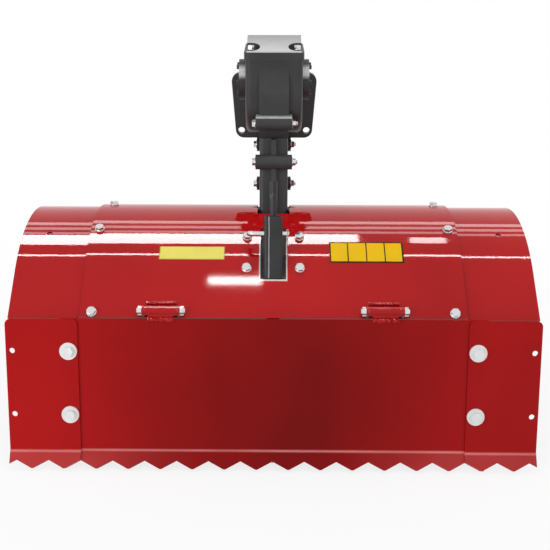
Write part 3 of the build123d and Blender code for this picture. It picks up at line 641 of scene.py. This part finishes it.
def on_hood(x, y):
    """The place on the hood over a point of the floor, and the way it faces there."""
    spot, outward, _, _ = hood.ray_cast(Vector((x, y, 1.0)), Vector((0, 0, -1)))
    return spot, outward if outward.z > 0 else -outward


keep(stamped(
    bolt_shape(SADDLE_GRIP, washer=0.0080),
    [stand(*on_hood(x, y), 0.4 * n) for n, (x, y) in enumerate(SADDLE_BOLTS)],
), "saddle_bolts", zinc_plate, "frame")
keep(stamped(
    bolt_shape(WING_GRIP),
    [stand(*on_hood(x, y), 0.7 * n) for n, (x, y) in enumerate(WING_BOLTS)],
), "hood_wing_bolts", zinc_plate, "frame")

# Case bolts
# Long bolts run through round bosses and clamp the two halves of the case and the foot of the
# gearbox. Each has a head and washer on one side, and a washer, nut and thread end on the other.
CASE_BOSSES = ((0.0522, 0.432), (0.1843, 0.432), (0.1651, 0.361), (0.0666, 0.498))
BOSS_HALF = 0.032
BOSS_BOLT_FLATS = 0.011
BOSS_WASHER = 0.0085
BOSS_WASHER_SHEET = 0.0012
shape = bmesh.new()
add_round(shape, 0, BOSS_WASHER_SHEET, BOSS_WASHER)
add_hexagon(shape, BOSS_WASHER_SHEET, 0.0050, BOSS_BOLT_FLATS)
keep(stamped(shape, [
    stand((-BOSS_HALF, y, z), (-1, 0, 0), 0.5 * n) for n, (y, z) in enumerate(CASE_BOSSES)
]), "case_bolt_heads", zinc_plate, "frame")
shape = bmesh.new()
add_round(shape, 0, BOSS_WASHER_SHEET, BOSS_WASHER)
add_hexagon(shape, BOSS_WASHER_SHEET, 0.0055, BOSS_BOLT_FLATS)
add_thread(shape, 0.0060, 0.0098, 0.0035)
keep(stamped(shape, [
    stand((BOSS_HALF, y, z), (1, 0, 0), 0.8 * n) for n, (y, z) in enumerate(CASE_BOSSES)
]), "case_bolt_nuts", zinc_plate, "frame")

# Cap bolts
# The cap is held down by a zinc-plated bolt in each rear pocket. Each head stands on a washer
# on the floor of its pocket, which the cutter that milled the cap did not reach, and which is
# painted near-black as its shade.
CAP_BOLT_X = 0.040
CAP_BOLT_IN = 0.013            # from the cap's rear edge
CAP_WASHER = 0.0060
CAP_WASHER_SHEET = 0.0018
CAP_BOLT_FLATS = 0.010
shape = bmesh.new()
add_round(shape, 0, CAP_WASHER_SHEET, CAP_WASHER)
add_hexagon(shape, CAP_WASHER_SHEET, 0.0060, CAP_BOLT_FLATS)
keep(stamped(shape, [
    stand((side * CAP_BOLT_X, cap_low.y + CAP_BOLT_IN, pocket_floor), (0, 0, 1), 0.3 * side)
    for side in (-1, 1)
]), "cap_bolts", zinc_plate, "frame")

# Bearing covers' screws
# Socket-head screws hold the round covers on the gearbox's ends and the rotor's bearing
# covers on the case.
RING_SCREWS = 6
ring_low, ring_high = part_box("gearbox_casting")
RING_CENTER = (0.1356, 0.562)
RING_SCREW_OUT = 0.0285        # from the ring's centre
COVER_SCREW_OUT = 0.0365       # from the rotor's axis


def socket_screw(radius, height):
    shape = bmesh.new()
    rim, wall = radius * 0.9, radius * 0.52
    add_turned(shape, [
        (radius, 0), (radius, height - 0.0004), (rim, height), (wall, height),
        (wall, height * 0.45), (1e-5, height * 0.4),
    ], 24)
    return shape


def ring_places(x, center, out, count, offset=0.0):
    places = []
    for n in range(count):
        turn = offset + 2 * pi * n / count
        spot = (x, center[0] + out * cos(turn), center[1] + out * sin(turn))
        places.append(stand(spot, (1 if x > 0 else -1, 0, 0), turn))
    return places


keep(stamped(socket_screw(0.0040, 0.0042), [
    place for x in (ring_low.x, ring_high.x)
    for place in ring_places(x, RING_CENTER, RING_SCREW_OUT, RING_SCREWS)
]), "gearbox_cover_screws", black_case, "frame")
left_cover, right_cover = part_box("bearing_cover_left"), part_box("bearing_cover_right")
keep(stamped(socket_screw(0.0040, 0.0030), [
    place for x in (left_cover[0].x, right_cover[1].x)
    for place in ring_places(x, rotor_axis[1:], COVER_SCREW_OUT, RING_SCREWS, 0.5)
]), "rotor_cover_screws", zinc_plate, "frame")

# Tine bolts
# Two bolts clamp each tine's root to its disc on the rotor, heads on the tine and nuts behind
# the disc. They are steel in the same bright zinc as the bolts of the case and hood.
DISC_PLACES = (0.090, 0.224, 0.358)
DISC_HALF = 0.004
TINE_SHEET = 0.007
TINE_STEP = 30                 # each disc's tines lag the last by this many degrees
TINE_BOLT_OUT = 0.052
TINE_BOLT_APART = 15           # degrees either side of the tine's root
places = []
for side in (-1, 1):
    for row, place in enumerate(DISC_PLACES):
        for quarter in range(4):
            face = 1 if quarter % 2 else -1
            for across in (-TINE_BOLT_APART, TINE_BOLT_APART):
                turn = radians(90 * quarter + TINE_STEP * row + across)
                x = side * place + face * (DISC_HALF + TINE_SHEET)
                y = rotor_axis[1] + TINE_BOLT_OUT * cos(turn)
                z = rotor_axis[2] + TINE_BOLT_OUT * sin(turn)
                places.append(stand((x, y, z), (face, 0, 0), turn))
keep(stamped(
    bolt_shape(2 * DISC_HALF + TINE_SHEET, washer=0.0080), places
), "tine_bolts", zinc_plate, "rotor")

# Depth pin and its clip
# The depth pin is a zinc-plated rod bent to a handle, which has swung forwards, and its free
# end is chamfered. A spring-steel clip goes through that end: its straight leg passes through
# the pin and its waved leg hugs it.
PIN_RADIUS = 0.004
PIN_CHAMFER = 0.0009
PIN_LEFT = 0.040
PIN_HANDLE = 0.018
PIN_BEND = 0.008
HANDLE_WAY = Vector((0, 0.93, -0.36))
CLIP_WIRE = 0.0009             # half its thickness
CLIP_X = 0.0215
pin_low, pin_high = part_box("depth_pin")
pin_y = (pin_low.y + pin_high.y) / 2
pin_z = pin_low.z + PIN_RADIUS
route = bmesh.new()
ends = [(pin_high.x - 0.001, 0.0), (-PIN_LEFT + PIN_BEND, 0.0)]
ends += [
    (-PIN_LEFT + PIN_BEND * (1 - sin(turn)), PIN_BEND * (1 - cos(turn)))
    for turn in (pi / 12 * step for step in range(1, 7))
]
ends.append((-PIN_LEFT, PIN_HANDLE))
ring = bmesh.ops.create_circle(
    route, cap_ends=True, segments=24, radius=PIN_RADIUS - PIN_CHAMFER
)["verts"]
bmesh.ops.rotate(route, verts=ring, matrix=Matrix.Rotation(pi / 2, 3, "Y"))
bmesh.ops.translate(route, verts=ring, vec=(pin_high.x, pin_y, pin_z))
edges = list({e for v in ring for e in v.link_edges})
heading = Vector((-1, 0, 0))
last = Vector((pin_high.x, pin_y, pin_z))
grow = PIN_RADIUS / (PIN_RADIUS - PIN_CHAMFER)
for n, (x, swung) in enumerate(ends):
    here = Vector((x, pin_y, pin_z)) + HANDLE_WAY * swung
    made = bmesh.ops.extrude_edge_only(route, edges=edges)["geom"]
    ring = [v for v in made if isinstance(v, bmesh.types.BMVert)]
    edges = [e for e in made if isinstance(e, bmesh.types.BMEdge) and set(e.verts) <= set(ring)]
    bmesh.ops.translate(route, verts=ring, vec=here - last)
    if n == 0:
        bmesh.ops.scale(route, verts=ring, vec=(1, grow, grow), space=Matrix.Translation(-here))
    if 2 <= n <= 7:
        bmesh.ops.rotate(
            route, verts=ring, cent=here,
            matrix=Matrix.Rotation(pi / 12, 3, heading.cross(HANDLE_WAY).normalized()),
        )
    last = here
bmesh.ops.holes_fill(route, edges=edges)
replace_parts(keep(route, "depth_pin_rod", zinc_plate, "frame"), "depth_pin")
bend = bpy.data.curves.new("r_clip", "CURVE")
bend.dimensions = "3D"
bend.bevel_depth = CLIP_WIRE
bend.bevel_resolution = 3
bend.resolution_u = 10
wire = bend.splines.new("NURBS")
CLIP_ROUTE = (
    (0.0, 0.0075), (0.0, -0.012), (0.0005, -0.0165), (0.0035, -0.0215), (0.0085, -0.0200),
    (0.0085, -0.0150), (0.0045, -0.0125), (0.0060, -0.0070), (0.0066, 0.0), (0.0050, 0.0050),
    (0.0068, 0.0090),
)
wire.points.add(len(CLIP_ROUTE) - 1)
for point, (across, up) in zip(wire.points, CLIP_ROUTE):
    point.co = (CLIP_X + across * 0.35, pin_y - across, pin_z + up, 1)
wire.order_u = 4
wire.use_endpoint_u = True
coiled = bpy.data.objects.new("r_clip_wire", bend)
scene.collection.objects.link(coiled)
bpy.context.view_layer.update()
clip = bmesh.new()
clip_mesh = bpy.data.meshes.new_from_object(coiled)
clip.from_mesh(clip_mesh)
bmesh.ops.holes_fill(clip, edges=[e for e in clip.edges if e.is_boundary])
bpy.data.objects.remove(coiled)
keep(clip, "depth_pin_clip", zinc_plate, "frame", 60)

# Depth spur's sleeve
# The sleeve is folded and welded square tube in satin black. A bright, wavering line up its
# rear face is a painted highlight, standing in for the glint of an edge.
GLINT_X = -0.0070
f = Finish("sleeve_black")
wear = f.noise(30, 4.0)
across = f.node("SeparateXYZ", output=0, Vector=f.where())
wander = (f.noise(70, 2.0) - 0.5) * 0.0018
# Painted highlight: a bright line up the rear face only, wavering a little.
painted_line = f.node("MapRange", Value=abs(across - GLINT_X + wander), i1=0.0004, i2=0.0011, i3=1.0, i4=0.0)
painted_line = painted_line * (f.node("SeparateXYZ", output=1, Vector=f.node("NewGeometry", output=1)) < -0.5)
dress(f.set(
    Base_Color=f.blend(
        painted_line * (0.35 + wear * 0.5),
        f.blend(wear, (0.016, 0.016, 0.017, 1), (0.044, 0.044, 0.046, 1)),
        grey(0.60),
    ),
    Specular_IOR_Level=0.3,
    Roughness=0.30 + wear * 0.18,
    Normal=f.bump(f.noise(300, 3.0), 0.0003, 0.3),
), "depth_sleeve")

# Hinge welds
# The hinge barrels and ears are held by hand-laid weld beads, sprayed red with the rest. The
# upper bead of each hinge is on the hood and the lower one is on the flap.
HINGE_X = 0.178
HINGE_AXIS = Vector((0, -0.188013, 0.252009))
HINGE_OUT = Vector((0, -0.649448, 0.760406))
HINGE_UP = Vector((0, 0.760406, 0.649448))
FLAP_OUT = Vector((0, -0.979925, 0.199368))
FLAP_DOWN = Vector((0, -0.199368, -0.979925))
rough = random.Random(7)


def weld_bead(middle, half, radius):
    """Overlapping blobs of weld in a row along X."""
    shape = bmesh.new()
    count = round(2 * half / (radius * 0.85))
    for n in range(count + 1):
        blob = bmesh.ops.create_uvsphere(shape, u_segments=10, v_segments=7, radius=radius)["verts"]
        swell = (0.8, rough.uniform(0.8, 1.25), rough.uniform(0.8, 1.25))
        bmesh.ops.scale(shape, verts=blob, vec=swell)
        bmesh.ops.rotate(shape, verts=blob, matrix=Matrix.Rotation(rough.uniform(0, pi), 3, "X"))
        along = 2 * half * n / count - half
        spot = middle + Vector((along, rough.uniform(-1, 1) * radius * 0.35, 0))
        bmesh.ops.translate(shape, verts=blob, vec=spot)
    for vert in shape.verts:
        vert.co += Vector([rough.uniform(-1, 1) * radius * 0.16 for _ in range(3)])
    return shape


for side, name in ((-1, "left"), (1, "right")):
    foot = Vector((side * HINGE_X, 0, 0)) + HINGE_AXIS
    painted.objects.link(keep(
        weld_bead(foot + HINGE_UP * 0.0168 - HINGE_OUT * 0.0080, 0.023, 0.0031),
        f"hood_hinge_weld_{name}", panel_red, "frame", 70,
    ))
    painted.objects.link(keep(
        weld_bead(foot + FLAP_OUT * 0.0090 + FLAP_DOWN * 0.0130, 0.019, 0.0036),
        f"flap_hinge_weld_{name}", panel_red, "flap", 70,
    ))

# Labels
# Two blank vinyl labels are stuck on the hood, one pale yellow and one yellow with a black
# border round four cells. Each is a thin sheet that follows the curved steel.
LABEL_LIFT = 0.00035
LABEL_SHEET = 0.0003


def label(name, left, right, top, low, cells, edge, ground, line):
    """A thin sheet laid on the hood between four lines, with a border and a row of cells."""
    shape = bmesh.new()
    grid = bmesh.ops.create_grid(shape, x_segments=24, y_segments=16, size=0.5)["verts"]
    for vert in grid:
        x = left + (right - left) * (vert.co.x + 0.5)
        spot, outward = on_hood(x, low + (top - low) * (vert.co.y + 0.5))
        vert.co = spot + outward * LABEL_LIFT
    bmesh.ops.recalc_face_normals(shape, faces=shape.faces)
    bmesh.ops.solidify(shape, geom=list(shape.faces), thickness=LABEL_SHEET)
    f = Finish(name + "_vinyl")
    x = f.node("SeparateXYZ", output=0, Vector=f.where())
    y = f.node("SeparateXYZ", output=1, Vector=f.where())
    mark = (x < left + edge) + (x > right - edge) + (y > top - edge * 0.8) + (y < low + edge * 0.8)
    for n in range(1, cells):
        mark = mark + (abs(x - (left + (right - left) * n / cells)) < 0.0010)
    mark = f.node("Clamp", Value=mark)
    fade = f.noise(40, 3.0)
    faded = [c * 0.86 for c in ground[:3]] + [1]
    return keep(shape, name, f.set(
        Base_Color=f.blend(mark * (0.82 + fade * 0.3), f.blend(fade, ground, faded), line),
        Roughness=0.42 + fade * 0.12,
        Specular_IOR_Level=0.12,
    ), "frame")


label(
    "pale_label", -0.1885, -0.0805, -0.0840, -0.1070, 1, 0.0012,
    (0.78, 0.69, 0.14, 1), (0.42, 0.34, 0.05, 1),
)
label(
    "cell_label", 0.0930, 0.2150, -0.0740, -0.1110, 4, 0.0026,
    (0.80, 0.48, 0.004, 1), (0.006, 0.006, 0.006, 1),
)
